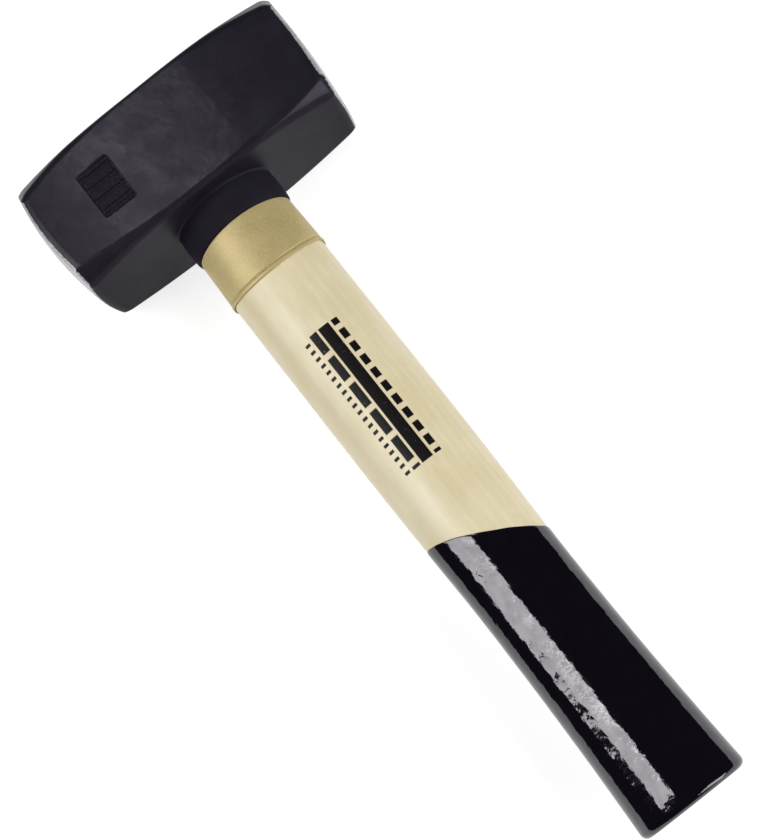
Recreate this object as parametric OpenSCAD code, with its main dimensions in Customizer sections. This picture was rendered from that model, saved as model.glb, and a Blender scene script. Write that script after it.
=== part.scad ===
// Club hammer: a forged head wedged on an ash handle, with a sheet-metal sleeve and a dipped grip.
// It lies on its back cheek. X runs along the head, the handle runs towards -Y and +Z is up.
// The origin is the middle of the flat on the back cheek. Lengths are in millimetres.

/* [Head] */
// Length over the two striking faces
head_length = 95; // [80:1:120]
// Height of a striking face, from the top of the head to its underside
face_height = 39.4; // [37:0.2:46]
// Width of a striking face, from cheek to cheek
face_width = 38.8; // [36:0.2:46]
// How far each cheek stands out beyond the striking faces
cheek_crown = 1.1; // [0.3:0.1:3]
// Length of the flat in the middle of each cheek
cheek_flat = 32; // [20:1:50]
// How far the top and the underside are hollowed at the eye
waist_hollow = 0.7; // [0.2:0.1:1.5]
// Leg of the corner facets where they meet a striking face
facet_leg = 5.8; // [3:0.1:8]
// Distance from the middle of the head at which the corner facets run out
facet_start = 8; // [4:0.5:20]
// Radius of the domed striking faces
dome_radius = 145; // [80:1:400]
// Bevel between the head's sides and a striking face
face_bevel = 1; // [0.6:0.1:3]

/* [Eye and boss] */
// Length of the eye at its throat, along the head
eye_length = 28.4; // [24:0.2:30]
// Width of the eye at its throat, from cheek to cheek
eye_width = 21; // [18:0.2:23]
// Widening of the eye from its throat to the top, per side
eye_top_flare = 1.2; // [0.4:0.1:2]
// Widening of the eye from its throat to the boss rim, per side
eye_rim_flare = 0.3; // [0:0.1:0.8]
// Distance of the throat below the top of the head
throat_depth = 26; // [16:1:34]
// Height of the boss below the underside
boss_height = 10.8; // [6:0.2:16]
// How far the boss stands out beyond the sleeve
boss_step = 0.5; // [0.3:0.1:2]
// Bulge of the boss halfway up
boss_bulge = 0.35; // [0:0.05:1]
// Rounding of the boss rim
boss_rim_round = 1; // [0.4:0.1:2]

/* [Mark field] */
// Size of the sunk field on the front cheek, along the head
field_length = 11; // [6:0.5:16]
// Size of the sunk field across the head
field_width = 16; // [8:0.5:22]
// Distance of the field's middle from the middle of the head
field_offset = 22.6; // [18:0.2:28]
// Depth of the field below the flat of the cheek
field_depth = 0.9; // [0.5:0.1:1.5]
// Number of raised ribs in the field
field_ribs = 4; // [2:1:6]
// Width of one rib
rib_width = 1.1; // [0.6:0.1:1.5]
// Height of the ribs above the field's floor
rib_height = 0.4; // [0.2:0.1:0.5]

/* [Handle] */
// Overall length, from the top of the head to the middle of the butt
overall_length = 259.5; // [240:0.5:320]
// Size of the handle where it meets the boss, along the head
seat_length = 30.7; // [30:0.1:34]
// Size of the handle where it meets the boss, from cheek to cheek
seat_width = 25.2; // [24:0.1:28]
// Size of the handle at the sleeve's lower edge, along the head
shoulder_length = 31.7; // [30:0.1:35]
// Size of the handle at the sleeve's lower edge, from cheek to cheek
shoulder_width = 24.6; // [23:0.1:28]
// Distance of the handle's waist below the top of the head
waist_depth = 184; // [150:1:200]
// Size of the waist, along the head
waist_length = 29.9; // [26:0.1:34]
// Size of the waist, from cheek to cheek
waist_width = 22.2; // [19:0.1:26]
// Size of the butt, along the head
butt_length = 33.8; // [30:0.2:42]
// Size of the butt, from cheek to cheek
butt_width = 24.8; // [22:0.2:30]
// Rounding of the butt's edge
butt_round = 2; // [1:0.5:6]
// How far the butt's end is sawn out of square, its upper edge standing out
butt_slant = 11; // [0:1:15]
// Radius of the oval section's ends, as a share of half its width
oval_end_share = 0.78; // [0.5:0.02:0.95]
// Distance of the handle's end below the top of the eye
tenon_recess = 0.4; // [0:0.1:2]

/* [Wedges] */
// Thickness of the wood wedge at its outer end
wedge_thickness = 3.4; // [2:0.1:5]
// Thickness of the wood wedge at its tip
wedge_tip = 0.6; // [0.4:0.1:1]
// Depth that the wood wedge is driven in
wedge_depth = 27; // [18:1:34]
// Outer radius of the ring wedge
ring_radius = 7; // [5:0.1:8]
// Wall of the ring wedge
ring_wall = 2; // [1:0.1:2.5]
// Depth that the ring wedge is driven in
ring_depth = 13; // [8:1:16]
// Length of the ring wedge's sharpened edge
ring_edge = 5; // [2:0.5:7]

/* [Sleeve] */
// Length of the sleeve
sleeve_length = 18.8; // [12:0.2:40]
// Sheet thickness of the sleeve
sleeve_wall = 0.45; // [0.3:0.05:1]
// Length of the lip at the sleeve's lower edge
lip_length = 1.65; // [1:0.05:3]
// How far the lip stands out beyond the sleeve
lip_rise = 0.15; // [0.1:0.05:1]
// Width of the groove above the lip
groove_width = 0.6; // [0.3:0.1:1]
// Depth of the groove above the lip
groove_depth = 0.15; // [0.1:0.05:0.2]

/* [Grip] */
// Distance of the coat's edge below the top of the head, in the middle of the handle
dip_depth = 167.4; // [140:1:200]
// Slant of the coat's edge
dip_slant = 27.5; // [0:0.5:40]
// Thickness of the coat
coat_thickness = 0.25; // [0.2:0.05:1]

/* [Hidden] */

// Clearance between pieces that are seated on each other
fit_gap = 0.05;
// How far a cutting shape runs past the surface that it cuts
past = 1;
// Steps of a section, of a rounded edge and of a tapering stretch
section_steps = 64;
round_steps = 5;
taper_steps = 10;
// Length over which the sections lean from square into the slant of the butt's end
lean_length = 24;

end_x = head_length / 2;
end_height = face_height / 2;
end_width = face_width / 2;
mid_height = end_height - waist_hollow;
mid_width = end_width + cheek_crown;
lie_height = mid_width;
// Distance of a corner facet from the head's axis at the striking face, and of the corner at the eye
facet_reach = (end_height + end_width - facet_leg) / sqrt(2);
corner_reach = (mid_height + mid_width) / sqrt(2);
// Arc along which a corner facet falls, and its distance from the axis where its bevel starts
facet_arc_middle = arc_middle([facet_start, corner_reach], [end_x, facet_reach]);
facet_arc_radius = norm([facet_start, corner_reach - facet_arc_middle]);
facet_bevel_x = end_x - face_bevel - facet_reach * facet_reach / (2 * dome_radius);
facet_edge_reach = facet_arc_middle
    + sqrt(facet_arc_radius * facet_arc_radius - facet_bevel_x * facet_bevel_x);

// Places along the handle: the head's middle is y = 0
rim_y = -mid_height - boss_height;
shoulder_y = rim_y - fit_gap;
sleeve_end_y = shoulder_y - sleeve_length;
waist_y = end_height - waist_depth;
coat_end_y = end_height - overall_length;
butt_y = coat_end_y + coat_thickness;
dip_y = end_height - dip_depth;
coat_top_y = dip_y + butt_length * tan(dip_slant);
round_y = butt_y + butt_round;
grip_middle_y = (coat_top_y + round_y) / 2;
throat_y = end_height - throat_depth;
tenon_y = mid_height - tenon_recess;

// Half sizes of the sections, as [along the head, from cheek to cheek]
throat = [eye_length, eye_width] / 2;
seat = [seat_length, seat_width] / 2;
shoulder = [shoulder_length, shoulder_width] / 2;
waist = [waist_length, waist_width] / 2;
butt = [butt_length, butt_width] / 2;
boss = grown(seat, fit_gap + sleeve_wall + boss_step);

function grown(half, by) = [half[0] + by, half[1] + by];
function blend(from, to, t) = from + (to - from) * t;
function ease(t) = t * t * (3 - 2 * t);

// An oval of four arcs: end arcs of radius end_r and side arcs of radius side_r
function end_r(half) = oval_end_share * half[1];
function side_r(half) =
    let (r = end_r(half))
    (pow(half[0] - r, 2) + pow(half[1], 2) - r * r) / (2 * (half[1] - r));
function meeting_angle(half) = atan2(side_r(half) - half[1], half[0] - end_r(half));

// Point of the oval whose outward normal points at angle t
function oval_point(half, t) =
    let (
        end_arc = abs(cos(t)) > cos(meeting_angle(half)),
        r = end_arc ? end_r(half) : side_r(half),
        mid_x = end_arc ? sign(cos(t)) * (half[0] - r) : 0,
        mid_z = end_arc ? 0 : sign(sin(t)) * (half[1] - r)
    )
    [mid_x + r * cos(t), mid_z + r * sin(t)];

// Middle of a circle about the axis x = 0 that passes through both points
function arc_middle(p, q) = (q * q - p * p) / (2 * (q[1] - p[1]));

function eye_half(y) =
    y > throat_y
        ? grown(throat, eye_top_flare * (y - throat_y) / (mid_height - throat_y))
        : grown(throat, eye_rim_flare * (throat_y - y) / (throat_y - rim_y));

function handle_half(y) =
    y > sleeve_end_y ? blend(shoulder, seat, (y - sleeve_end_y) / sleeve_length)
    : y > waist_y ? blend(shoulder, waist, ease(pow((sleeve_end_y - y) / (sleeve_end_y - waist_y), 3)))
    : blend(waist, butt, pow((waist_y - y) / (waist_y - butt_y), 2));

// Stations of a loft, as [y, half sizes], from the top down. The butt's stations round its edge.
function butt_stations(end_y, r, by) = [
    for (i = [0:round_steps])
        let (
            t = 90 * i / round_steps,
            y = end_y + r * (1 - sin(t))
        )
        [y, grown(handle_half(y), by - r * (1 - cos(t)))]
];

// The place to_y is left out, because the next stretch starts there
function shank_stations(from_y, to_y, by) = [
    for (i = [0:taper_steps - 1])
        let (y = blend(from_y, to_y, i / taper_steps))
        [y, grown(handle_half(y), by)]
];

// Stations from the coat's upper edge to the butt, the same for the wood and both sides of the coat
function grip_stations(end_y, by) = concat(
    shank_stations(coat_top_y, grip_middle_y, by),
    shank_stations(grip_middle_y, round_y, by),
    butt_stations(end_y, butt_round + by, by)
);

// How far the section at y leans, as its shift along y for each millimetre of height
function lean(y) = tan(butt_slant) * max(0, min(1, 1 - (y - round_y) / lean_length));

// Solid through oval stations that are listed from the top down
module loft(stations) {
    n = section_steps;
    last = len(stations) - 1;
    points = [
        for (s = stations, i = [0:n - 1])
            let (p = oval_point(s[1], 360 * (i + 0.5) / n))
            [p[0], s[0] - lean(s[0]) * p[1], p[1]]
    ];
    walls = [
        for (k = [0:last - 1], i = [0:n - 1])
            let (
                a = k * n + i,
                b = k * n + (i + 1) % n,
                c = b + n,
                d = a + n
            )
            each [[a, d, c], [a, c, b]]
    ];
    top = [for (i = [0:n - 1]) i];
    bottom = [for (i = [n - 1:-1:0]) last * n + i];
    polyhedron(points = points, faces = concat([top, bottom], walls));
}

// Places what is drawn about the head's middle at the height at which the hammer lies
module lying() {
    translate([0, 0, lie_height]) children();
}

// Outline of the head seen from the top: flat at the eye, then drawn in towards the faces
module cheek_outline() {
    middle = arc_middle([cheek_flat / 2, mid_width], [end_x, end_width]);
    radius = norm([cheek_flat / 2, mid_width - middle]);
    intersection() {
        square([head_length, 2 * mid_width], center = true);
        translate([0, middle]) circle(r = radius, $fn = 720);
        translate([0, -middle]) circle(r = radius, $fn = 720);
    }
}

// Outline of the head seen from the cheek: hollowed a little at the eye
module side_outline() {
    radius = (end_x * end_x + waist_hollow * waist_hollow) / (2 * waist_hollow);
    difference() {
        square([head_length, face_height], center = true);
        for (s = [-1, 1])
            translate([0, s * (mid_height + radius)]) circle(r = radius, $fn = 720);
    }
}

// Large drum whose shell cuts one pair of corner facets, which run out at facet_start
module facet_drum() {
    translate([0, facet_arc_middle, 0])
        cylinder(r = facet_arc_radius, h = 4 * face_height, center = true, $fn = 720);
}

// Block that bevels one edge of a striking face, whose side lies at the distance reach
module bevel_block(reach) {
    inner = reach - face_bevel;
    dome_x = end_x - dome_radius + sqrt(dome_radius * dome_radius - inner * inner);
    size = 4 * face_height;
    translate([dome_x - face_bevel, reach, 0])
        rotate([0, 0, -45])
            translate([-size / 2, 0, -size / 2]) cube(size);
}

module head_block() {
    reaches = [end_height, facet_edge_reach, end_width, facet_edge_reach];
    difference() {
        intersection() {
            rotate([90, 0, 0]) linear_extrude(height = 2 * face_height, center = true) cheek_outline();
            linear_extrude(height = 2 * face_width, center = true) side_outline();
            rotate([45, 0, 0]) facet_drum();
            rotate([135, 0, 0]) facet_drum();
            rotate([225, 0, 0]) facet_drum();
            rotate([315, 0, 0]) facet_drum();
            for (s = [-1, 1])
                translate([s * (end_x - dome_radius), 0, 0])
                    rotate([0, 90, 0]) sphere(r = dome_radius, $fn = 180);
        }
        for (side = [0, 1], i = [0:7])
            mirror([side, 0, 0]) rotate([45 * i, 0, 0]) bevel_block(reaches[i % 4]);
    }
}

module boss() {
    bury = 4;
    loft(concat(
        [[-mid_height + bury, boss], [-mid_height, boss]],
        [[-mid_height - boss_height / 2, grown(boss, boss_bulge)]],
        [
            for (i = [0:round_steps])
                let (t = 90 * i / round_steps)
                [rim_y + boss_rim_round * (1 - sin(t)), grown(boss, -boss_rim_round * (1 - cos(t)))]
        ]
    ));
}

module eye() {
    loft([
        [mid_height + past, eye_half(mid_height + past)],
        [throat_y, throat],
        [rim_y - past, eye_half(rim_y - past)]
    ]);
}

// Sunk field with plain raised ribs on the front cheek
module mark_field() {
    pitch = field_width / field_ribs;
    translate([-field_offset, 0, mid_width - field_depth])
        difference() {
            translate([-field_length / 2, -field_width / 2, 0])
                cube([field_length, field_width, field_depth + past]);
            for (i = [0:field_ribs - 1]) {
                rib_y = (i + 0.5) * pitch - (field_width + rib_width) / 2;
                translate([-field_length / 2 - past, rib_y, -past])
                    cube([field_length + 2 * past, rib_width, past + rib_height]);
            }
        }
}

module head() {
    color("#2b2930") lying()
        difference() {
            union() {
                head_block();
                boss();
            }
            eye();
            mark_field();
        }
}

// Stations of the wood from the tenon's end down to the shoulder
function tenon_stations(gap) = [
    [tenon_y, grown(eye_half(tenon_y), -gap)],
    [throat_y, grown(throat, -gap)],
    [shoulder_y, grown(eye_half(shoulder_y), -gap)]
];

module wedge_blank(gap, over) {
    top = wedge_thickness / 2 + gap;
    tip = wedge_tip / 2 + gap;
    tip_y = tenon_y - wedge_depth - gap;
    rotate([90, 0, 90])
        linear_extrude(height = 2 * eye_length, center = true)
            polygon([[tenon_y + over, top], [tip_y, tip], [tip_y, -tip], [tenon_y + over, -top]]);
}

module ring_blank(gap, over) {
    outer = ring_radius + gap;
    inner = ring_radius - ring_wall - gap;
    middle = ring_radius - ring_wall / 2;
    edge = ring_wall / 8 + gap;
    translate([0, tenon_y, 0]) rotate([-90, 0, 0])
        rotate_extrude($fn = 96)
            polygon([
                [inner, over], [outer, over], [outer, ring_edge - ring_depth],
                [middle + edge, -ring_depth - gap], [middle - edge, -ring_depth - gap],
                [inner, ring_edge - ring_depth]
            ]);
}

module handle() {
    color("#e3d3a4") lying()
        difference() {
            loft(concat(
                tenon_stations(fit_gap),
                [[shoulder_y, seat]],
                shank_stations(sleeve_end_y, coat_top_y, 0),
                grip_stations(butt_y, 0)
            ));
            wedge_blank(fit_gap, past);
            ring_blank(fit_gap, past);
        }
}

module wood_wedge() {
    color("#b98c5a") lying()
        difference() {
            intersection() {
                wedge_blank(0, 0);
                loft(tenon_stations(fit_gap));
            }
            ring_blank(fit_gap, past);
        }
}

module ring_wedge() {
    color("#8d9096") lying() ring_blank(0, 0);
}

// Stations of the sleeve's surface, from its upper edge down: body, groove and lip
function sleeve_stations() =
    let (
        lip_y = sleeve_end_y + lip_length,
        groove_y = lip_y + groove_width,
        out = fit_gap + sleeve_wall
    )
    [
        for (s = [
            [shoulder_y, out], [groove_y, out], [groove_y, out - groove_depth],
            [lip_y, out - groove_depth], [lip_y, out + lip_rise], [sleeve_end_y, out + lip_rise]
        ])
            [s[0], grown(handle_half(s[0]), s[1])]
    ];

module sleeve() {
    color("#b9a05a") lying()
        difference() {
            loft(sleeve_stations());
            loft([
                for (y = [shoulder_y + past, sleeve_end_y, sleeve_end_y - past])
                    [y, grown(handle_half(y), fit_gap)]
            ]);
        }
}

// The coat ends at a slanting plane, and goes round the butt
module grip_coat() {
    reach = butt_length;
    color("#17151a") lying()
        difference() {
            loft(grip_stations(coat_end_y, coat_thickness));
            loft(concat(
                [[coat_top_y + past, handle_half(coat_top_y + past)]],
                grip_stations(butt_y, 0)
            ));
            translate([0, dip_y, 0]) rotate([0, 0, -dip_slant])
                translate([-2 * reach, 0, -reach]) cube([4 * reach, 4 * reach, 2 * reach]);
        }
}

head();
handle();
wood_wedge();
ring_wedge();
sleeve();
grip_coat();
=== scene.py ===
import math

import bpy
import numpy as np
from mathutils import Matrix, Vector


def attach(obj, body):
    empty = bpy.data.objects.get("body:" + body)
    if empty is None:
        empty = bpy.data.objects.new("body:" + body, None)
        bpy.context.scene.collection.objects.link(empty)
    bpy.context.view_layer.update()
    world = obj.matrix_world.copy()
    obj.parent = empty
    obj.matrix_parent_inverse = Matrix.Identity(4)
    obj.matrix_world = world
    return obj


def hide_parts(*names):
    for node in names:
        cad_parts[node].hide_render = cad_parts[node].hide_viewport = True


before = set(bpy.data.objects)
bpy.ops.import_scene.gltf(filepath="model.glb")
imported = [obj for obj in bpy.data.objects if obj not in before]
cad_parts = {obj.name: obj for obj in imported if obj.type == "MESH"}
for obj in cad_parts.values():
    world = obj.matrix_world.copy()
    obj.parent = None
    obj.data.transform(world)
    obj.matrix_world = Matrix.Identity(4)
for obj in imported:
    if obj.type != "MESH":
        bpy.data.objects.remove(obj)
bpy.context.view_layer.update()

# Looks of a club hammer that lies on its back cheek: X along the head, the handle towards -Y, +Z up.
# Shapes are worked out in millimetres about the head's middle and written in metres, in the row frame.
MM = 0.001
LIE_HEIGHT = 20.5

# Head
HEAD_END = 47.5
FACE_HALF = (19.7, 19.4)
WAIST_HOLLOW = 0.7
CHEEK_CROWN = 1.1
CHEEK_FLAT_HALF = 16.0
FACET_LEG = 5.8
FACET_START = 8.0
# The striking faces are ground by hand: each has its own place on the axis, its slants across the height and
# the width, its radius and the width of its bevel
RIGHT_FACE = (47.22, 0.046, 0.0156, 221.0, 1.1)
LEFT_FACE = (47.15, 0.014, 0.05, 85.0, 0.8)
# The top side falls off a little towards the faces: how far on the right and on the left
TOP_FALL = (1.0, 1.2)
TOP_FALL_START = 22.0
# The top corner at the right face is rounded more than the others: how far down, and from where
TIP_FALL, TIP_START = 1.3, 44.2
MID_HEIGHT = FACE_HALF[0] - WAIST_HOLLOW
MID_WIDTH = FACE_HALF[1] + CHEEK_CROWN
BOSS_HEIGHT = 10.8
BOSS_BULGE = 0.35
BOSS_RIM_ROUND = 1.0
RIM_Y = -MID_HEIGHT - BOSS_HEIGHT

# Sections, as half sizes along the head and from cheek to cheek
THROAT = (14.2, 10.5)
THROAT_Y = FACE_HALF[0] - 26
EYE_TOP_FLARE = 1.2
EYE_RIM_FLARE = 0.3
SEAT = (15.35, 12.6)
SHOULDER = (15.85, 12.3)
WAIST = (14.95, 11.1)
BUTT = (16.9, 12.4)
OVAL_END_SHARE = 0.78

# Places along the handle
FIT_GAP = 0.05
SHOULDER_Y = RIM_Y - FIT_GAP
SLEEVE_LENGTH = 18.8
SLEEVE_END_Y = SHOULDER_Y - SLEEVE_LENGTH
WAIST_Y = FACE_HALF[0] - 184
COAT_END_Y = FACE_HALF[0] - 259.5
COAT = 0.25
BUTT_Y = COAT_END_Y + COAT
BUTT_ROUND = 2.0
ROUND_Y = BUTT_Y + BUTT_ROUND
# The butt's end is sawn out of square: the sections lean into that slant over the last stretch
BUTT_SLANT = math.tan(math.radians(11))
LEAN_LENGTH = 24.0
# The broad sides droop a little towards the butt's end
CROWN_LENGTH = 7.0
BUTT_CROWN = 0.0085
TENON_Y = MID_HEIGHT - 0.4
DIP_Y = FACE_HALF[0] - 167.4
DIP_SLOPE = math.tan(math.radians(27.5))
SLEEVE_WALL = 0.45
BOSS_STEP = 0.5


def grown(half, by):
    return (half[0] + by, half[1] + by)


def blend(a, b, t):
    return a + (b - a) * t


def ease(t):
    return t * t * (3 - 2 * t)


BOSS = grown(SEAT, FIT_GAP + SLEEVE_WALL + BOSS_STEP)


def ripple(points, wavelength, seed):
    """Smooth unevenness between -1 and 1, the same each time, at places given in millimetres."""
    draw = np.random.default_rng(seed)
    total = np.zeros(points.shape[:-1])
    for _ in range(9):
        way = draw.normal(size=3)
        way /= np.linalg.norm(way) * wavelength * draw.uniform(0.6, 1.6)
        total += np.sin(2 * math.pi * (points @ way + draw.uniform()))
    return np.clip(total / 5, -1, 1)


# Ovals of four arcs


def oval_arcs(half):
    """Radii of the end and side arcs."""
    end = OVAL_END_SHARE * half[1]
    side = ((half[0] - end) ** 2 + half[1] ** 2 - end**2) / (2 * (half[1] - end))
    return end, side


def oval_point(half, turn):
    """Points of an oval whose outward normals point at the angles turn; half may hold arrays."""
    end, side = oval_arcs(half)
    meet = np.arctan2(side - half[1], half[0] - end)
    at_end = np.abs(np.cos(turn)) > np.cos(meet)
    radius = np.where(at_end, end, side)
    mid_x = np.where(at_end, np.sign(np.cos(turn)) * (half[0] - end), 0)
    mid_z = np.where(at_end, 0, np.sign(np.sin(turn)) * (half[1] - side))
    return mid_x + radius * np.cos(turn), mid_z + radius * np.sin(turn)


def oval_distance(x, z, half):
    """Signed distance from the oval, negative inside."""
    end, side = oval_arcs(half)
    x, z = np.abs(x), np.abs(z)
    to_end = np.array([half[0] - end, side - half[1]])
    beyond = (x * to_end[1] - (z + side - half[1]) * to_end[0]) > 0
    return np.where(beyond, np.hypot(x - half[0] + end, z) - end, np.hypot(x, z + side - half[1]) - side)


def handle_half(y):
    """Half sizes of the handle below the boss, for one place or an array of them."""
    seat = np.clip((y - SLEEVE_END_Y) / SLEEVE_LENGTH, 0, 1)
    upper = ease(np.clip((SLEEVE_END_Y - y) / (SLEEVE_END_Y - WAIST_Y), 0, 1) ** 3)
    lower = np.clip((WAIST_Y - y) / (WAIST_Y - BUTT_Y), 0, 1) ** 2
    long_half, wide_half = (
        shoulder + (top - shoulder) * seat + (waist - shoulder) * upper + (butt - waist) * lower
        for top, shoulder, waist, butt in zip(SEAT, SHOULDER, WAIST, BUTT)
    )
    return long_half, wide_half - BUTT_CROWN * np.clip(COAT_END_Y + CROWN_LENGTH - y, 0, None) ** 2


def butt_sections(end_y, round_off, by, steps):
    """Places and half sizes of the butt's rounded edge, from its start down to its end."""
    for i in range(steps + 1):
        turn = math.pi / 2 * i / steps
        y = end_y + round_off * (1 - math.sin(turn))
        yield y, grown(handle_half(y), by - round_off * (1 - math.cos(turn)))


def eye_flare(y):
    """How much wider the eye is than its throat."""
    above = EYE_TOP_FLARE * (y - THROAT_Y) / (MID_HEIGHT - THROAT_Y)
    below = EYE_RIM_FLARE * (THROAT_Y - y) / (THROAT_Y - RIM_Y)
    return np.where(y > THROAT_Y, above, below)


# Meshes


def new_object(name, points, faces):
    """A mesh object from points in millimetres about the head's middle."""
    mesh = bpy.data.meshes.new(name)
    placed = (np.asarray(points, float) + (0, 0, LIE_HEIGHT)) * MM
    mesh.from_pydata(placed.tolist(), [], [list(map(int, f)) for f in faces])
    made = bpy.data.objects.new(name, mesh)
    bpy.context.scene.collection.objects.link(made)
    return made


def add_piece(name, points, faces, nodes, material):
    """A smooth piece of the hammer, which stands in for its CAD nodes."""
    piece = new_object(name, points, faces)
    piece.data.validate()
    piece.data.shade_smooth()
    piece.data.materials.append(material)
    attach(piece, "root")
    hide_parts(*nodes)
    return piece


def ring_points(turns, y, half, normal_shift=0.0):
    """One ring of an oval section; y, the half sizes and the shift along the normal may be arrays."""
    x, z = oval_point(half, turns)
    x, z = x + normal_shift * np.cos(turns), z + normal_shift * np.sin(turns)
    lean = BUTT_SLANT * np.clip(1 - (y - ROUND_Y) / LEAN_LENGTH, 0, 1)
    return np.stack([x, y - lean * z, z], 1)


def ring_faces(rings, around, closed=False, start_cap=False, end_cap=False):
    """Quads between successive rings, whose order runs so that the faces look outwards."""
    faces = []
    last = rings if closed else rings - 1
    for k in range(last):
        a, b = k * around, ((k + 1) % rings) * around
        faces += [(a + i, a + (i + 1) % around, b + (i + 1) % around, b + i) for i in range(around)]
    if start_cap:
        faces.append(range(around - 1, -1, -1))
    if end_cap:
        faces.append(range((rings - 1) * around, rings * around))
    return faces


def even_turns(around):
    return (np.arange(around) + 0.5) * 2 * math.pi / around


def apply_modifiers(piece):
    """Gives the piece the mesh that its modifiers make, and returns it."""
    bpy.context.view_layer.update()
    mesh = bpy.data.meshes.new_from_object(piece.evaluated_get(bpy.context.evaluated_depsgraph_get()))
    piece.modifiers.clear()
    piece.data = mesh
    return mesh


def carve(piece, cutters, operation):
    """Applies exact booleans with the cutters, whose faces look outwards, and removes them."""
    for cutter in cutters:
        step = piece.modifiers.new("carve", "BOOLEAN")
        step.operation, step.solver, step.object = operation, "EXACT", cutter
    apply_modifiers(piece)
    for cutter in cutters:
        bpy.data.objects.remove(cutter)


# The head, worked out as one field of distances so that its edges, fillets and sunk field are all rounded


def rounded_and(a, b, radius):
    """Where both fields are negative, with a rounded edge."""
    edge = np.hypot(np.maximum(a + radius, 0), np.maximum(b + radius, 0))
    return np.minimum(np.maximum(a, b), -radius) + edge


def rounded_or(a, b, radius):
    """Where either field is negative, with a fillet."""
    corner = np.hypot(np.maximum(radius - a, 0), np.maximum(radius - b, 0))
    return np.maximum(np.minimum(a, b), radius) - corner


def arc_field(x, reach, start, start_reach, end_reach):
    """Distance beyond an outline that is level up to x = start and then falls along an arc to the end."""
    rise = end_reach**2 - start_reach**2 + HEAD_END**2 - start**2
    middle = rise / (2 * (end_reach - start_reach))
    radius = math.hypot(start, start_reach - middle)
    return np.where(x < start, reach - start_reach, np.hypot(x, reach - middle) - radius)


FACET_REACH = (FACE_HALF[0] + FACE_HALF[1] - FACET_LEG) / math.sqrt(2)
# Distance of a facet from the axis where its bevel starts
FACET_EDGE_REACH = FACET_REACH + 0.66
# The painted sides roll off a little just before the ground faces
ROLL_RADIUS = 6.0
ROLL_LENGTH = 1.8
# Roundings of the head's edges, the fillet at the boss and the rounding at the mouth of the eye
CHEEK_EDGE, FACET_EDGE, BEVEL_EDGE, GROUND_EDGE = 1.5, 1.2, 0.22, 0.2
BOSS_FILLET, EYE_EDGE = 0.9, 0.45
# Depth of the forged skin's unevenness
FORGED_DEPTH = 0.02


def beyond_face(x, y, z):
    """How far a place lies beyond the striking face on its side, along the head, and that face's bevel."""
    end, lean_y, lean_z, radius, bevel = (np.where(x > 0, r, l) for r, l in zip(RIGHT_FACE, LEFT_FACE))
    return np.abs(x) - end - lean_y * y - lean_z * z + (y * y + z * z) / (2 * radius), bevel


def head_block(x, y, z):
    """The head's body without boss, eye and sunk field."""
    beyond, bevel_width = beyond_face(x, y, z)
    fall = np.where(y > 0, np.where(x > 0, *TOP_FALL), 0)
    tip = np.where((y > 0) & (x > 0), TIP_FALL, 0)
    x, y, z = np.abs(x), np.abs(y), np.abs(z)
    fall = fall * np.clip((x - TOP_FALL_START) / (HEAD_END - TOP_FALL_START), 0, 1) ** 2
    fall = fall + tip * np.clip((x - TIP_START) / (HEAD_END - TIP_START), 0, 1) ** 2
    diagonal = (y + z) / math.sqrt(2)
    hollow_radius = (HEAD_END**2 + WAIST_HOLLOW**2) / (2 * WAIST_HOLLOW)
    side = y - MID_HEIGHT - hollow_radius + np.sqrt(hollow_radius**2 - x * x)
    cheek = arc_field(x, z, CHEEK_FLAT_HALF, MID_WIDTH, FACE_HALF[1])
    facet = arc_field(x, diagonal, FACET_START, (MID_HEIGHT + MID_WIDTH) / math.sqrt(2), FACET_REACH)
    body = rounded_and(rounded_and(side + fall, cheek, CHEEK_EDGE), facet + fall / 2, FACET_EDGE)
    body = rounded_and(body, beyond + bevel_width + ROLL_LENGTH - ROLL_RADIUS, ROLL_RADIUS)
    past_edge = np.maximum(np.maximum(y - FACE_HALF[0], z - FACE_HALF[1]), diagonal - FACET_EDGE_REACH)
    bevel = (beyond + bevel_width + past_edge) / math.sqrt(2)
    return rounded_and(rounded_and(body, bevel, BEVEL_EDGE), beyond, GROUND_EDGE)


FIELD_X, FIELD_HALF, FIELD_DEPTH = -22.6, (5.5, 8.0), 0.9
FIELD_CORNER, FIELD_EDGE, FIELD_FOOT = 0.8, 0.3, 0.2
RIB_PITCH, RIB_HALF, RIB_HEIGHT = 4.0, 0.55, 0.4


def mark_field(x, y, z):
    """The sunk field on the front cheek, with plain raised ribs on its floor."""
    qx = np.abs(x - FIELD_X) - FIELD_HALF[0] + FIELD_CORNER
    qy = np.abs(y) - FIELD_HALF[1] + FIELD_CORNER
    outline = np.hypot(np.maximum(qx, 0), np.maximum(qy, 0)) + np.minimum(np.maximum(qx, qy), 0)
    outline = outline - FIELD_CORNER
    outline = outline + 0.3 * (MID_WIDTH - z)
    off_rib = np.abs(y % RIB_PITCH - RIB_PITCH / 2)
    rib = RIB_HEIGHT * ease(np.clip((RIB_HALF + 0.25 - off_rib) / 0.5, 0, 1))
    return rounded_and(outline, MID_WIDTH - FIELD_DEPTH + rib - z, FIELD_FOOT)


def head_field(points):
    """The whole head, negative inside."""
    x, y, z = points[..., 0], points[..., 1], points[..., 2]
    around = oval_distance(x, z, BOSS)
    swell = BOSS_BULGE * (1 - np.clip(((y - RIM_Y) * 2 / BOSS_HEIGHT - 1) ** 2, 0, 1))
    boss = np.maximum(rounded_and(around - swell, RIM_Y - y, BOSS_RIM_ROUND), y)
    solid = rounded_or(head_block(x, y, z), boss, BOSS_FILLET)
    eye = oval_distance(x, z, THROAT) - eye_flare(y)
    solid = rounded_and(solid, -eye, EYE_EDGE)
    solid = np.where(z > 0, rounded_and(solid, -mark_field(x, y, z), FIELD_EDGE), solid)
    return solid + FORGED_DEPTH * (1 + 0.7 * ripple(points, 14, 3) + 0.3 * ripple(points, 6, 4))


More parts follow.
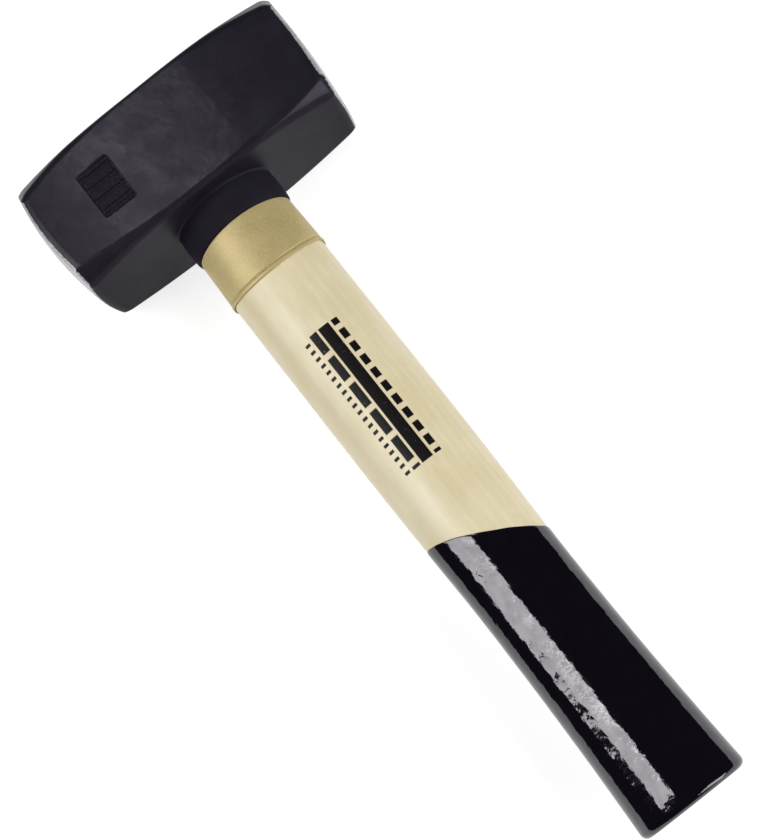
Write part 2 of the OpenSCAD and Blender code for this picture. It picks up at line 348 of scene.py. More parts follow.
def slopes(field, points, step=0.02):
    """The field's gradient at each point."""
    ways = np.eye(3) * step
    return np.stack([(field(points + w) - field(points - w)) / (2 * step) for w in ways], -1)


def onto(field, points, rounds=4):
    """Moves points onto the field's surface."""
    for _ in range(rounds):
        slope = slopes(field, points)
        size = np.maximum((slope**2).sum(-1), 0.2)
        points = points - np.clip(field(points) / size, -0.3, 0.3)[:, None] * slope
    return points


def surface_net(field, low, high, cell):
    """Quads on the surface where the field changes sign: one vertex for each grid cell that it passes."""
    axes = [np.arange(low[i], high[i] + cell, cell) for i in range(3)]
    grid = np.stack(np.meshgrid(*axes, indexing="ij"), -1)
    value = np.concatenate([field(part) for part in np.array_split(grid, 12)])
    del grid
    shape = np.array(value.shape)
    cells = shape - 1
    total = np.zeros((cells.prod(), 3))
    count = np.zeros(cells.prod())
    strides = np.array([cells[1] * cells[2], cells[2], 1])
    quads = []
    for axis in range(3):
        near = np.take(value, range(shape[axis] - 1), axis)
        far = np.take(value, range(1, shape[axis]), axis)
        at = np.argwhere((near < 0) != (far < 0))
        u, v = (axis + 1) % 3, (axis + 2) % 3
        at = at[(at[:, u] > 0) & (at[:, v] > 0) & (at[:, u] < cells[u]) & (at[:, v] < cells[v])]
        a, b = near[tuple(at.T)], far[tuple(at.T)]
        place = at.astype(float)
        place[:, axis] += a / (a - b)
        corners = []
        for back_u, back_v in ((0, 0), (1, 0), (1, 1), (0, 1)):
            cell_at = at.copy()
            cell_at[:, u] -= back_u
            cell_at[:, v] -= back_v
            index = cell_at @ strides
            np.add.at(total, index, place)
            np.add.at(count, index, 1)
            corners.append(index)
        quad = np.stack(corners, 1)
        quads.append(np.where((a < 0)[:, None], quad, quad[:, ::-1]))
    quads = np.concatenate(quads)
    used = np.flatnonzero(count)
    renumber = np.zeros(len(count), int)
    renumber[used] = np.arange(len(used))
    points = total[used] / count[used][:, None] * cell + np.array(low)
    return onto(field, points), renumber[quads]


HEAD_CELL = 0.42
HEAD_TRIANGLES = 64000


def make_head(material):
    margin = 1.3
    low = (-HEAD_END - margin, RIM_Y - margin, -MID_WIDTH - margin)
    high = (HEAD_END + margin, FACE_HALF[0] + margin, MID_WIDTH + margin)
    points, quads = surface_net(head_field, low, high, HEAD_CELL)
    head = add_piece("forged_head", points, quads, ["head"], material)
    thin = head.modifiers.new("thin", "DECIMATE")
    thin.ratio = min(1, HEAD_TRIANGLES / (2 * len(quads)))
    mesh = apply_modifiers(head)
    found = np.zeros(len(mesh.vertices) * 3)
    mesh.vertices.foreach_get("co", found)
    found = onto(head_field, found.reshape(-1, 3) / MM - (0, 0, LIE_HEIGHT), 2)
    mesh.vertices.foreach_set("co", ((found + (0, 0, LIE_HEIGHT)) * MM).ravel())
    mesh.update()
    normals = slopes(head_field, found)
    normals /= np.linalg.norm(normals, axis=1)[:, None]
    mesh.normals_split_custom_set_from_vertices(normals.tolist())
    return head


# Handle, wedges, sleeve and coat


def make_handle(material):
    around = 144
    turns = even_turns(around)
    rings = []

    def ring(y, half):
        rings.append(ring_points(turns, y, half))

    top = grown(THROAT, float(eye_flare(TENON_Y)) - FIT_GAP)
    for share in (0.02, 0.3, 0.6, 0.85):
        ring(TENON_Y, (top[0] * share, top[1] * share))
    for inset, drop in ((0.35, 0), (0.1, 0.1), (0, 0.35)):
        ring(TENON_Y - drop, grown(top, -inset))
    for y in np.linspace(TENON_Y - 2, SHOULDER_Y + 0.4, 22):
        ring(y, grown(THROAT, float(eye_flare(y)) - FIT_GAP))
    neck = grown(THROAT, float(eye_flare(SHOULDER_Y)) - FIT_GAP)
    ring(SHOULDER_Y, neck)
    ring(SHOULDER_Y, grown(SEAT, -0.55))
    ring(SHOULDER_Y, grown(SEAT, -0.4))
    ring(SHOULDER_Y - 0.12, grown(SEAT, -0.12))
    for y in np.linspace(SHOULDER_Y - 0.4, ROUND_Y, 120)[:-1]:
        ring(y, handle_half(y))
    for y, half in butt_sections(BUTT_Y, BUTT_ROUND, 0, 9):
        ring(y, half)
    for share in (0.75, 0.4, 0.02):
        ring(BUTT_Y, (half[0] * share, half[1] * share))
    faces = ring_faces(len(rings), around, start_cap=True, end_cap=True)
    handle = add_piece("ash_handle", np.concatenate(rings), faces, ["handle"], material)
    carve(handle, [wedge_tool("kerf", FIT_GAP, 1), ring_tool("ring_seat", FIT_GAP, 1)], "DIFFERENCE")
    handle.data.set_sharp_from_angle(angle=math.radians(40))
    return handle


WEDGE_TOP, WEDGE_TIP, WEDGE_DEPTH = 1.7, 0.3, 27.0
RING_OUTER, RING_INNER, RING_DEPTH, RING_EDGE = 7.0, 5.0, 13.0, 5.0


def wedge_tool(name, gap, over):
    """The tapering solid that shapes the kerf or the wood wedge, grown by gap and raised by over."""
    reach = 30
    top, tip, tip_y = WEDGE_TOP + gap, WEDGE_TIP + gap, TENON_Y - WEDGE_DEPTH - gap
    profile = [(TENON_Y + over, top), (tip_y, tip), (tip_y, -tip), (TENON_Y + over, -top)]
    points = [(side * reach, y, z) for side in (-1, 1) for y, z in profile]
    faces = [(3, 2, 1, 0), (4, 5, 6, 7), (1, 5, 4, 0), (2, 6, 5, 1), (3, 7, 6, 2), (0, 4, 7, 3)]
    return new_object(name, points, faces)


def ring_profile(gap, over):
    """The ring wedge's section as radius and height above the tenon's end, grown by gap, raised by over."""
    outer, inner = RING_OUTER + gap, RING_INNER - gap
    middle, edge = (RING_OUTER + RING_INNER) / 2, 0.25 + gap
    tip = -RING_DEPTH - gap
    if over:
        top = [(inner, over), (outer, over)]
    else:
        top = [(inner, -0.3), (inner + 0.3, 0), (outer - 0.3, 0), (outer, -0.3)]
    start = RING_EDGE - RING_DEPTH
    return top + [(outer, start), (middle + edge, tip), (middle - edge, tip), (inner, start)]


def turned(profile, around):
    """Points and faces of a ring turned about the handle's axis."""
    turns = even_turns(around)
    rings = [
        np.stack([r * np.cos(turns), np.full(around, TENON_Y + h), r * np.sin(turns)], 1)
        for r, h in profile
    ]
    return np.concatenate(rings), ring_faces(len(rings), around, closed=True)


def ring_tool(name, gap, over):
    return new_object(name, *turned(ring_profile(gap, over), 96))


def make_ring_wedge(material):
    points, faces = turned(ring_profile(0, 0), 96)
    ring = add_piece("steel_ring_wedge", points, faces, ["ring_wedge"], material)
    ring.data.set_sharp_from_angle(angle=math.radians(30))
    return ring


def make_wood_wedge(material):
    around = 144
    turns = even_turns(around)
    stations = [TENON_Y, *np.linspace(TENON_Y - 1, THROAT_Y - 3, 12)]
    rings = [ring_points(turns, y, grown(THROAT, float(eye_flare(y)) - FIT_GAP)) for y in stations]
    faces = ring_faces(len(rings), around, start_cap=True, end_cap=True)
    wedge = add_piece("wood_kerf_wedge", np.concatenate(rings), faces, ["wood_wedge"], material)
    carve(wedge, [wedge_tool("wedge_form", 0, 0)], "INTERSECT")
    carve(wedge, [ring_tool("ring_room", FIT_GAP, 1)], "DIFFERENCE")
    wedge.data.set_sharp_from_angle(angle=math.radians(30))
    return wedge


# The sleeve's lower edge is higher on the narrow sides than on the broad ones
SIDE_RISE, BROAD_DIP = 1.7, 0.5
# The sleeve's profile from its upper edge inside, round the rolled lip and up the outside: the distance out
# from the inner face, and the place above the lower edge or, for the last part, below the upper edge
SLEEVE_LIP = [
    (0, 3), (0, 0.25), (0.04, 0.08), (0.14, 0), (0.4, 0), (0.5, 0.05), (0.57, 0.14), (0.6, 0.26), (0.6, 0.36),
    (0.58, 0.46), (0.58, 0.54), (0.6, 0.66), (0.605, 0.8), (0.595, 0.94), (0.56, 1.06), (0.47, 1.16),
    (0.32, 1.24), (0.19, 1.31), (0.14, 1.4), (0.15, 1.5), (0.23, 1.58), (0.36, 1.66), (0.43, 1.78), (0.45, 2.3),
]
SLEEVE_TOP = [
    (0.45, 1.2), (0.45, 0.45), (0.43, 0.2), (0.37, 0.06), (0.28, 0), (0.14, 0), (0.05, 0.06), (0, 0.2),
]


def make_sleeve(material):
    """A pressed sheet ring: thin upper edge, smooth body, groove and rolled lip."""
    around = 192
    turns = even_turns(around)
    rise = SIDE_RISE - (SIDE_RISE + BROAD_DIP) * np.sin(turns) ** 2
    outline = list(SLEEVE_LIP)
    outline += [(SLEEVE_WALL, up) for up in np.linspace(3.5, SLEEVE_LENGTH - 2, 10)]
    outline += [(out, SLEEVE_LENGTH - down) for out, down in SLEEVE_TOP]
    rings = []
    for out, up in outline:
        y = SLEEVE_END_Y + up + rise * np.clip(1.2 - 1.3 * up / SLEEVE_LENGTH, 0, 1)
        rings.append(ring_points(turns, y, grown(handle_half(y), FIT_GAP + out)))
    faces = [tuple(reversed(f)) for f in ring_faces(len(rings), around, closed=True)]
    return add_piece("brass_sleeve", np.concatenate(rings), faces, ["sleeve"], material)


def coat_edge(turns):
    """Where the dipped coat ends, for each direction round the handle: a slanting line with a slight waver."""
    y = np.full(len(turns), DIP_Y)
    for _ in range(3):
        x, _z = oval_point(handle_half(y), turns)
        y = DIP_Y - DIP_SLOPE * x
    return y + 0.12 * np.sin(3 * turns + 1.1) + 0.07 * np.sin(7 * turns + 0.4) + 0.04 * np.sin(17 * turns)


def make_coat(material):
    """The dipped coat: an even film with a rounded upper edge and a slightly uneven, wavy surface."""
    around, along = 216, 200
    turns = even_turns(around)
    edge = coat_edge(turns)
    under = 0.03
    lip = 0.55

    def wavy(y, half, share):
        flat = ring_points(turns, y, half)
        waves = 0.022 * (ripple(flat * (1, 0.6, 1), 7, 11) - 1) + 0.008 * (ripple(flat, 2.6, 12) - 1)
        return ring_points(turns, y, half, waves * share)

    film = []
    for t in (0, 0.15, 0.32, 0.5, 0.68, 0.85, 1):
        film.append((edge - lip * (1 - math.sqrt(1 - t * t)), blend(under, COAT, t)))
    film += [(blend(edge - lip, ROUND_Y, share), COAT) for share in np.linspace(0, 1, along)[1:-1]]
    rings = [wavy(y, grown(handle_half(y), out), (out / COAT) ** 2) for y, out in film]
    steps = 16
    for i, (y, half) in enumerate(butt_sections(COAT_END_Y, BUTT_ROUND + COAT, COAT, steps)):
        rings.append(wavy(y, half, math.cos(math.pi / 2 * i / steps)))
    for share in (0.96, 0.85, 0.65, 0.4, 0.2, 0.02):
        rings.append(ring_points(turns, COAT_END_Y + 0.05 * (1 - share), (half[0] * share, half[1] * share)))
    faces = ring_faces(len(rings), around, end_cap=True)

    inside = []
    for share in np.linspace(0, 1, 30)[:-1]:
        y = blend(edge, ROUND_Y, share)
        inside.append(ring_points(turns, y, grown(handle_half(y), under)))
    for y, half in butt_sections(BUTT_Y - under, BUTT_ROUND + under, under, 9):
        inside.append(ring_points(turns, y, half))
    for share in (0.6, 0.02):
        inside.append(ring_points(turns, BUTT_Y - under, (half[0] * share, half[1] * share)))
    shift = len(rings) * around
    faces += [tuple(shift + i for i in reversed(f)) for f in ring_faces(len(inside), around, end_cap=True)]
    faces += [(shift + i, shift + (i + 1) % around, (i + 1) % around, i) for i in range(around)]
    points = np.concatenate(rings + inside)
    return add_piece("dipped_coat", points, faces, ["grip_coat"], material)


# Materials


def node(tree, kind, inputs=None, **settings):
    """A shader node; inputs maps socket names or numbers to a value or another node's output."""
    made = tree.nodes.new(kind)
    for key, value in settings.items():
        setattr(made, key, value)
    for key, value in (inputs or {}).items():
        if isinstance(value, bpy.types.NodeSocket):
            tree.links.new(value, made.inputs[key])
        else:
            made.inputs[key].default_value = value
    return made


class Paint:
    """One material, built around a Principled shader whose coordinates are in millimetres."""

    def __init__(self, name, **sockets):
        self.material = bpy.data.materials.new(name)
        self.material.use_nodes = True
        self.tree = self.material.node_tree
        self.tree.nodes.clear()
        self.shader = node(self.tree, "ShaderNodeBsdfPrincipled")
        output = node(self.tree, "ShaderNodeOutputMaterial")
        self.tree.links.new(self.shader.outputs[0], output.inputs["Surface"])
        for key, value in sockets.items():
            self.set(key.replace("_", " "), value)
        place = node(self.tree, "ShaderNodeTexCoord").outputs["Object"]
        scaled = node(self.tree, "ShaderNodeVectorMath", {0: place, "Scale": 1 / MM}, operation="SCALE")
        self.place = self.vector("SUBTRACT", scaled.outputs[0], (0, 0, LIE_HEIGHT))

    def set(self, socket, value):
        if isinstance(value, bpy.types.NodeSocket):
            self.tree.links.new(value, self.shader.inputs[socket])
        else:
            self.shader.inputs[socket].default_value = value

    def vector(self, operation, a, b=None):
        inputs = {0: a} if b is None else {0: a, 1: b}
        made = node(self.tree, "ShaderNodeVectorMath", inputs, operation=operation)
        return made.outputs["Value" if operation == "LENGTH" else "Vector"]

    def math(self, operation, a, b=0.0):
        return node(self.tree, "ShaderNodeMath", {0: a, 1: b}, operation=operation).outputs[0]

    def range(self, value, low, high, to_low=0.0, to_high=1.0):
        """A smooth step from to_low at low to to_high at high."""
        inputs = {"Value": value, "From Min": low, "From Max": high, "To Min": to_low, "To Max": to_high}
        step = node(self.tree, "ShaderNodeMapRange", inputs, interpolation_type="SMOOTHSTEP")
        return step.outputs["Result"]

    def noise(self, per_mm, detail=3.0, stretch=(1, 1, 1), rough=0.5):
        """Noise between about 0.2 and 0.8; stretch gives the pattern's relative fineness along each axis."""
        coords = self.vector("MULTIPLY", self.place, stretch)
        inputs = {"Vector": coords, "Scale": per_mm, "Detail": detail, "Roughness": rough}
        return node(self.tree, "ShaderNodeTexNoise", inputs).outputs["Fac"]

    def mix(self, share, a, b):
        inputs = {0: share, 6: a, 7: b}
        return node(self.tree, "ShaderNodeMix", inputs, data_type="RGBA").outputs[2]

    def mix_value(self, share, a, b):
        return node(self.tree, "ShaderNodeMix", {0: share, 2: a, 3: b}, data_type="FLOAT").outputs[0]

    def bump(self, height, depth_mm, after=None):
        inputs = {"Height": height, "Distance": depth_mm * MM, "Strength": 1.0}
        if after is not None:
            inputs["Normal"] = after
        return node(self.tree, "ShaderNodeBump", inputs).outputs[0]

    def split(self, vector):
        return node(self.tree, "ShaderNodeSeparateXYZ", {0: vector}).outputs


def rgb(r, g, b):
    return (r, g, b, 1.0)


def head_material():
    """Satin black stoving paint on forged steel, ground off on the two striking faces."""
    p = Paint("satin_black_paint", IOR=1.28, Specular_Tint=rgb(0.94, 0.87, 1.0))
    x, y, z = p.split(p.place)
    right = p.math("GREATER_THAN", x, 0.0)
    end, lean_y, lean_z, radius, bevel = (p.mix_value(right, l, r) for r, l in zip(RIGHT_FACE, LEFT_FACE))
    off_axis = p.math("ADD", p.math("MULTIPLY", y, y), p.math("MULTIPLY", z, z))
    bulge = p.math("DIVIDE", off_axis, p.math("MULTIPLY", radius, 2))
    lean = p.math("ADD", p.math("MULTIPLY", y, lean_y), p.math("MULTIPLY", z, lean_z))
    beyond = p.math("ADD", p.math("SUBTRACT", p.math("ABSOLUTE", x), p.math("ADD", end, lean)), bulge)
    high, wide = p.math("ABSOLUTE", y), p.math("ABSOLUTE", z)
    diagonal = p.math("MULTIPLY", p.math("ADD", high, wide), 1 / math.sqrt(2))
    past_top, past_cheek = p.math("SUBTRACT", high, FACE_HALF[0]), p.math("SUBTRACT", wide, FACE_HALF[1])
    past_side = p.math("MAXIMUM", past_top, past_cheek)
    past_edge = p.math("MAXIMUM", past_side, p.math("SUBTRACT", diagonal, FACET_EDGE_REACH))
    on_bevel = p.math("MULTIPLY", p.math("ADD", p.math("ADD", beyond, bevel), past_edge), 1 / math.sqrt(2))
    beyond = p.math("MAXIMUM", beyond, on_bevel)
    ragged = p.math("MULTIPLY", p.math("SUBTRACT", p.noise(1.1, 4), 0.5), 0.16)
    ground = p.range(p.math("ADD", beyond, ragged), -0.12, -0.06)

    broad = p.noise(0.07, 3)
    paint = p.mix(p.range(broad, 0.35, 0.65), rgb(0.0120, 0.0102, 0.0155), rgb(0.0155, 0.0135, 0.0198))
    dust = p.range(p.noise(2.2, 2, rough=0.7), 0.66, 0.8)
    paint = p.mix(p.math("MULTIPLY", dust, 0.35), paint, rgb(0.030, 0.028, 0.033))
    off_field = p.math("ABSOLUTE", p.math("SUBTRACT", x, FIELD_X))
    across = p.range(off_field, FIELD_HALF[0], FIELD_HALF[0] - FIELD_CORNER)
    inside = p.math("MULTIPLY", across, p.range(high, FIELD_HALF[1], FIELD_HALF[1] - FIELD_CORNER))
    inside = p.math("MULTIPLY", inside, p.range(z, 10, 11))
    # Painted shade: the paint inside the sunk field is darkened towards near black, as shade in its recess
    paint = p.mix(p.math("MULTIPLY", inside, 0.7), paint, rgb(0.006, 0.005, 0.008))
    paint_rough = p.range(p.noise(0.11, 4), 0.3, 0.7, 0.19, 0.27)
    paint_rough = p.mix_value(inside, paint_rough, 0.5)
    underside = p.range(y, -MID_HEIGHT + 1.5, -MID_HEIGHT - 1.5)
    paint_rough = p.mix_value(underside, paint_rough, 0.6)

    marks = p.noise(2.4, 3, (0.4, 1.0, 0.06))
    cross = p.noise(1.6, 2, (0.4, 0.12, 1.0))
    grain = p.math("ADD", p.math("MULTIPLY", marks, 0.7), p.math("MULTIPLY", cross, 0.3))
    steel = p.mix(p.range(grain, 0.35, 0.65), rgb(0.36, 0.36, 0.37), rgb(0.54, 0.54, 0.54))
    stain = p.range(p.noise(0.16, 4, rough=0.6), 0.55, 0.72)
    steel = p.mix(p.math("MULTIPLY", stain, 0.55), steel, rgb(0.34, 0.28, 0.17))
    steel_rough = p.range(grain, 0.3, 0.7, 0.28, 0.42)

    p.set("Base Color", p.mix(ground, paint, steel))
    p.set("Metallic", p.math("MULTIPLY", ground, 0.45))
    p.set("Roughness", p.mix_value(ground, paint_rough, steel_rough))
    p.set("Specular IOR Level", p.mix_value(underside, 0.5, 0.08))

    cast = p.math("MULTIPLY", p.noise(1.1, 3), inside)
    scale = p.bump(p.noise(0.35, 5, rough=0.55), 0.05)
    peel = p.bump(p.noise(1.9, 2), 0.006, scale)
    pitted = p.bump(cast, 0.25, peel)
    p.set("Normal", p.bump(p.math("MULTIPLY", grain, ground), 0.006, pitted))
    return p.material


# Where the print starts and ends along the handle, and how soft its edges and its dashes are
PRINT_REACH, PRINT_SOFT, DASH_SOFT = (-122, -72), 0.06, 0.02


def plain_print(p):
    """The print on the handle's front: a plain bar and three rows of dashes. 1 where there is ink."""
    x, y, z = p.split(p.place)

    def between(value, low, high):
        rise = p.range(value, low - PRINT_SOFT, low + PRINT_SOFT)
        return p.math("MULTIPLY", rise, p.range(value, high + PRINT_SOFT, high - PRINT_SOFT))

    def bar(low_x, high_x):
        return p.math("MULTIPLY", between(x, low_x, high_x), between(y, *PRINT_REACH))

    def dashes(low_x, high_x, pitch, share):
        along = p.math("ABSOLUTE", p.math("SUBTRACT", p.math("FRACT", p.math("DIVIDE", y, pitch)), 0.5))
        dash = p.range(along, share / 2 + DASH_SOFT, share / 2 - DASH_SOFT)
        return p.math("MULTIPLY", bar(low_x, high_x), dash)

    left = p.math("MAXIMUM", dashes(-6.6, -5.0, 2.5, 0.4), dashes(-4.0, -1.5, 10.0, 0.82))
    right = p.math("MAXIMUM", bar(-0.8, 2.8), dashes(3.6, 5.6, 5.0, 0.66))
    ink = p.math("MAXIMUM", left, right)
    worn = p.range(p.noise(1.1, 5, rough=0.65), 0.66, 0.72, 1.0, 0.55)
    front = p.range(z, 2, 3)
    return p.math("MULTIPLY", p.math("MULTIPLY", ink, worn), front)


# The heart of the tree beside the handle, and the width of a year's ring
PITH, YEAR_RING = (34, 0, -22), 2.9


def wood_material():
    """Pale ash under a thin clear lacquer, with a plain print."""
    p = Paint("lacquered_ash", Coat_Roughness=0.3, Coat_IOR=1.5)
    drift = p.math("MULTIPLY", p.noise(0.05, 3, (1, 0.25, 1)), 9.0)
    from_pith = p.vector("MULTIPLY", p.vector("SUBTRACT", p.place, PITH), (1, 0.012, 1))
    to_pith = p.vector("LENGTH", from_pith)
    rings = p.math("FRACT", p.math("DIVIDE", p.math("ADD", to_pith, drift), YEAR_RING))
    early = p.math("MULTIPLY", p.range(rings, 0.0, 0.55), p.range(rings, 1.0, 0.86))
    fibres = p.noise(1.5, 4, (1, 0.03, 1), rough=0.6)
    pores = p.range(p.noise(3.6, 2, (1, 0.045, 1)), 0.62, 0.74)
    cloud = p.noise(0.13, 4, (1, 0.5, 1), rough=0.6)
    base = p.mix(p.range(cloud, 0.3, 0.7), rgb(0.645, 0.560, 0.352), rgb(0.700, 0.620, 0.425))
    base = p.mix(p.math("MULTIPLY", early, 0.22), base, rgb(0.575, 0.480, 0.270))
    base = p.mix(p.math("MULTIPLY", p.range(fibres, 0.35, 0.7), 0.16), base, rgb(0.780, 0.715, 0.530))
    base = p.mix(p.math("MULTIPLY", p.math("MULTIPLY", pores, early), 0.30), base, rgb(0.420, 0.320, 0.160))
    ink = plain_print(p)
    p.set("Base Color", p.mix(ink, base, rgb(0.0050, 0.0040, 0.0045)))
    p.set("Roughness", p.range(fibres, 0.3, 0.7, 0.42, 0.56))
    p.set("Specular IOR Level", p.mix_value(ink, 0.5, 0.15))
    p.set("Coat Weight", p.mix_value(ink, 0.6, 0.1))
    height = p.math("ADD", p.math("MULTIPLY", fibres, 0.6), p.math("MULTIPLY", pores, -0.5))
    p.set("Normal", p.bump(height, 0.012))
    p.set("Coat Normal", p.bump(p.noise(0.35, 3, (1, 0.4, 1)), 0.05))
    return p.material


def wedge_material():
    """Brown hardwood, its fibres along the wedge, crushed and darker at the driven end."""
    p = Paint("wedge_hardwood", Roughness=0.6)
    fibres = p.noise(1.6, 4, (1, 0.05, 1.4), rough=0.6)
    base = p.mix(p.range(fibres, 0.3, 0.7), rgb(0.33, 0.19, 0.085), rgb(0.52, 0.33, 0.16))
    y = p.split(p.place)[1]
    crushed = p.math("MULTIPLY", p.range(y, TENON_Y - 0.8, TENON_Y), p.range(p.noise(0.9, 4), 0.35, 0.7))
    p.set("Base Color", p.mix(crushed, base, rgb(0.20, 0.12, 0.06)))
    p.set("Normal", p.bump(fibres, 0.06))
    return p.material


def ring_material():
    """Bare turned steel with a trace of rust."""
    p = Paint("bare_ring_steel", Metallic=1.0)
    lathe = p.noise(4.0, 2, (1, 0.2, 1))
    rust = p.range(p.noise(0.5, 5, rough=0.7), 0.55, 0.7)
    steel = p.mix(p.range(lathe, 0.3, 0.7), rgb(0.38, 0.38, 0.39), rgb(0.52, 0.52, 0.53))
    p.set("Base Color", p.mix(p.math("MULTIPLY", rust, 0.7), steel, rgb(0.22, 0.10, 0.045)))
    p.set("Roughness", p.range(rust, 0, 1, 0.34, 0.7))
    p.set("Normal", p.bump(p.math("ADD", lathe, rust), 0.02))
    return p.material


def brass_material():
    """Satin brass-coloured sheet with a fine, even grain."""
    p = Paint("satin_brass", Metallic=0.28)
    grain = p.noise(1.3, 5, rough=0.75)
    cloud = p.noise(0.12, 3)
    base = p.mix(p.range(cloud, 0.3, 0.7), rgb(0.430, 0.336, 0.144), rgb(0.490, 0.388, 0.174))
    base = p.mix(p.math("MULTIPLY", p.range(grain, 0.4, 0.65), 0.5), base, rgb(0.58, 0.49, 0.27))
    p.set("Base Color", base)
    p.set("Roughness", p.range(grain, 0.3, 0.7, 0.42, 0.54))
    hairlines = p.noise(2.6, 2, (1, 0.05, 1))
    p.set("Normal", p.bump(hairlines, 0.004, p.bump(grain, 0.018)))
    return p.material


def coat_material():
    """Thick black gloss dip with a slightly uneven skin."""
    p = Paint("black_gloss_dip", IOR=1.8, Specular_Tint=rgb(0.98, 0.95, 1.0))
    dust = p.range(p.noise(1.7, 3, rough=0.6), 0.64, 0.74)
    black, dusty = rgb(0.0016, 0.0007, 0.0036), rgb(0.0055, 0.0045, 0.0075)
    p.set("Base Color", p.mix(p.math("MULTIPLY", dust, 0.5), black, dusty))
    p.set("Roughness", p.range(p.noise(0.25, 3), 0.3, 0.7, 0.045, 0.075))
    p.set("Specular IOR Level", p.range(p.noise(0.3, 3, (1, 0.6, 1), rough=0.55), 0.3, 0.7, 0.41, 0.52))
    skin = p.bump(p.noise(0.3, 3, (1, 0.6, 1), rough=0.5), 0.1)
    p.set("Normal", p.bump(p.noise(1.1, 2, (1, 0.8, 1), rough=0.6), 0.004, skin))
    return p.material


# Camera, glossy and transmission rays see the floor as a nearly even white, because it glows for them. Other
# rays see a grey that is palest at one place and fades with the distance from it, in metres: a painted pool of
# light, whose bounce lights the hammer.
FLOOR_GLOW = 0.79
FLOOR_PALEST = (-0.3, -0.1, 0)
FLOOR_FADE = {"From Min": 0.15, "From Max": 0.9, "To Min": 0.45, "To Max": 0.07}
FLOOR_REACH, FLOOR_DROP = 6.0, 0.05


def floor_material():
    """Pale floor, which shows as white with the object's shadow; for other rays it carries a painted pool of
    light.
    """
    material = bpy.data.materials.new("pale_floor")
    material.use_nodes = True
    tree = material.node_tree
    tree.nodes.clear()
    white = node(tree, "ShaderNodeBsdfDiffuse", {"Color": rgb(0.34, 0.34, 0.34)})
    place = node(tree, "ShaderNodeTexCoord").outputs["Object"]
    # Painted pool of light: the grey for other rays is palest at FLOOR_PALEST and fades with the distance from
    # it
    away = node(tree, "ShaderNodeVectorMath", {0: place, 1: FLOOR_PALEST}, operation="DISTANCE")
    fade = {"Value": away.outputs["Value"], **FLOOR_FADE}
    shade = node(tree, "ShaderNodeMapRange", fade, interpolation_type="SMOOTHSTEP").outputs["Result"]
    grey = node(tree, "ShaderNodeBsdfDiffuse", {"Color": shade})
    even = node(tree, "ShaderNodeEmission", {"Color": rgb(1, 1, 1), "Strength": FLOOR_GLOW})
    rays = node(tree, "ShaderNodeLightPath").outputs
    shown = rays["Is Camera Ray"]
    for kind in ("Is Glossy Ray", "Is Transmission Ray"):
        shown = node(tree, "ShaderNodeMath", {0: shown, 1: rays[kind]}, operation="MAXIMUM").outputs[0]
    seen = node(tree, "ShaderNodeAddShader", {0: white.outputs[0], 1: even.outputs[0]})
    both = node(tree, "ShaderNodeMixShader", {0: shown, 1: grey.outputs[0], 2: seen.outputs[0]})
    output = node(tree, "ShaderNodeOutputMaterial")
    tree.links.new(both.outputs[0], output.inputs["Surface"])
    return material


def make_floor():
    mesh = bpy.data.meshes.new("studio_floor")
    corners = [(x * FLOOR_REACH, y * FLOOR_REACH, 0) for x, y in ((-1, -1), (1, -1), (1, 1), (-1, 1))]
    mesh.from_pydata(corners, [], [(0, 1, 2, 3)])
    floor = bpy.data.objects.new("studio_floor", mesh)
    floor.location.z = -FLOOR_DROP * MM
    bpy.context.scene.collection.objects.link(floor)
    mesh.materials.append(floor_material())


# Lamps: name, way from the target, distance, size across and along the handle, radiance, and whether glossy
# surfaces mirror them. The first two meet edge to edge, because their light adds up where they overlap.
LAMPS = [
    ("key_left", (-0.638, 0.37, 0.721), 1.02, (0.77, 0.41), 4.8, True),
    ("key_tip", (-0.529, 0.1015, 0.799), 0.963, (0.5, 0.123), 4.8, True),
    ("soft_back", (-0.08, 0.61, 1.08), 1.243, (0.13, 0.2), 7.5, True),
    ("fill_right", (0.52, -0.76, 0.40), 1.3, (0.9, 0.6), 4.5, True),
    ("even_right", (0.75, -0.2, 0.6), 1.3, (1.2, 1.2), 3.0, False),
    ("even_left", (-0.92, -0.15, 0.3), 1.3, (0.7, 1.2), 2.4, False),
]
LAMP_TARGET = (0, -0.1, 0.02)
WORLD_LIGHT = 0.035


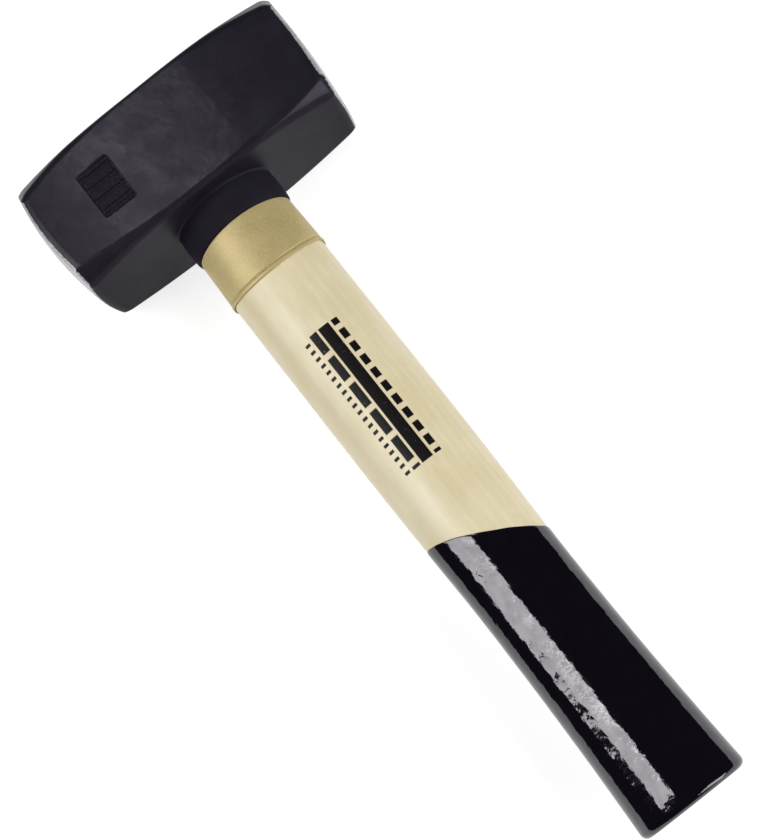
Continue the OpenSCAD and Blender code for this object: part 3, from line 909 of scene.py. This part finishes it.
def soft_lamp(name, way, distance, size, radiance, mirrored):
    """A rectangular lamp that looks at the target from the direction way."""
    light = bpy.data.lights.new(name, "AREA")
    light.shape = "RECTANGLE"
    light.size, light.size_y = size
    light.energy = radiance * math.pi * size[0] * size[1]
    lamp = bpy.data.objects.new(name, light)
    bpy.context.scene.collection.objects.link(lamp)
    back = Vector(way).normalized()
    right = Vector((0, 1, 0)).cross(back).normalized()
    top = back.cross(right)
    turn = Matrix((right, top, back)).transposed().to_4x4()
    lamp.matrix_world = Matrix.Translation(Vector(LAMP_TARGET) + back * distance) @ turn
    lamp.visible_camera = False
    lamp.visible_glossy = mirrored


def make_lights():
    for lamp in LAMPS:
        soft_lamp(*lamp)
    world = bpy.data.worlds.new("studio")
    world.use_nodes = True
    world.node_tree.nodes["Background"].inputs["Color"].default_value = rgb(1, 1, 1)
    world.node_tree.nodes["Background"].inputs["Strength"].default_value = WORLD_LIGHT
    bpy.context.scene.world = world


# The camera stands where the photograph's was found to stand
CAMERA_PLACE = (10.92, -384.01, 793.06)
CAMERA_RIGHT = (0.78132, -0.58363, -0.22116)
CAMERA_DOWN = (-0.62394, -0.73916, -0.25366)
FOCAL_PIXELS = 3000.0
LONG_SIDE_PIXELS = 840.0


def make_camera():
    lens = bpy.data.cameras.new("camera")
    lens.sensor_width = 36.0
    lens.lens = FOCAL_PIXELS / LONG_SIDE_PIXELS * lens.sensor_width
    lens.clip_start, lens.clip_end = 0.01, 50.0
    camera = bpy.data.objects.new("camera", lens)
    bpy.context.scene.collection.objects.link(camera)
    right, up = Vector(CAMERA_RIGHT).normalized(), -Vector(CAMERA_DOWN)
    back = right.cross(up).normalized()
    up = back.cross(right)
    turn = Matrix((right, up, back)).transposed().to_4x4()
    place = (Vector(CAMERA_PLACE) + Vector((0, 0, LIE_HEIGHT))) * MM
    camera.matrix_world = Matrix.Translation(place) @ turn
    bpy.context.scene.camera = camera


make_head(head_material())
make_handle(wood_material())
make_wood_wedge(wedge_material())
make_ring_wedge(ring_material())
make_sleeve(brass_material())
make_coat(coat_material())
make_floor()
make_lights()
make_camera()
bpy.context.scene.view_settings.view_transform = "Standard"

bpy.context.view_layer.update()
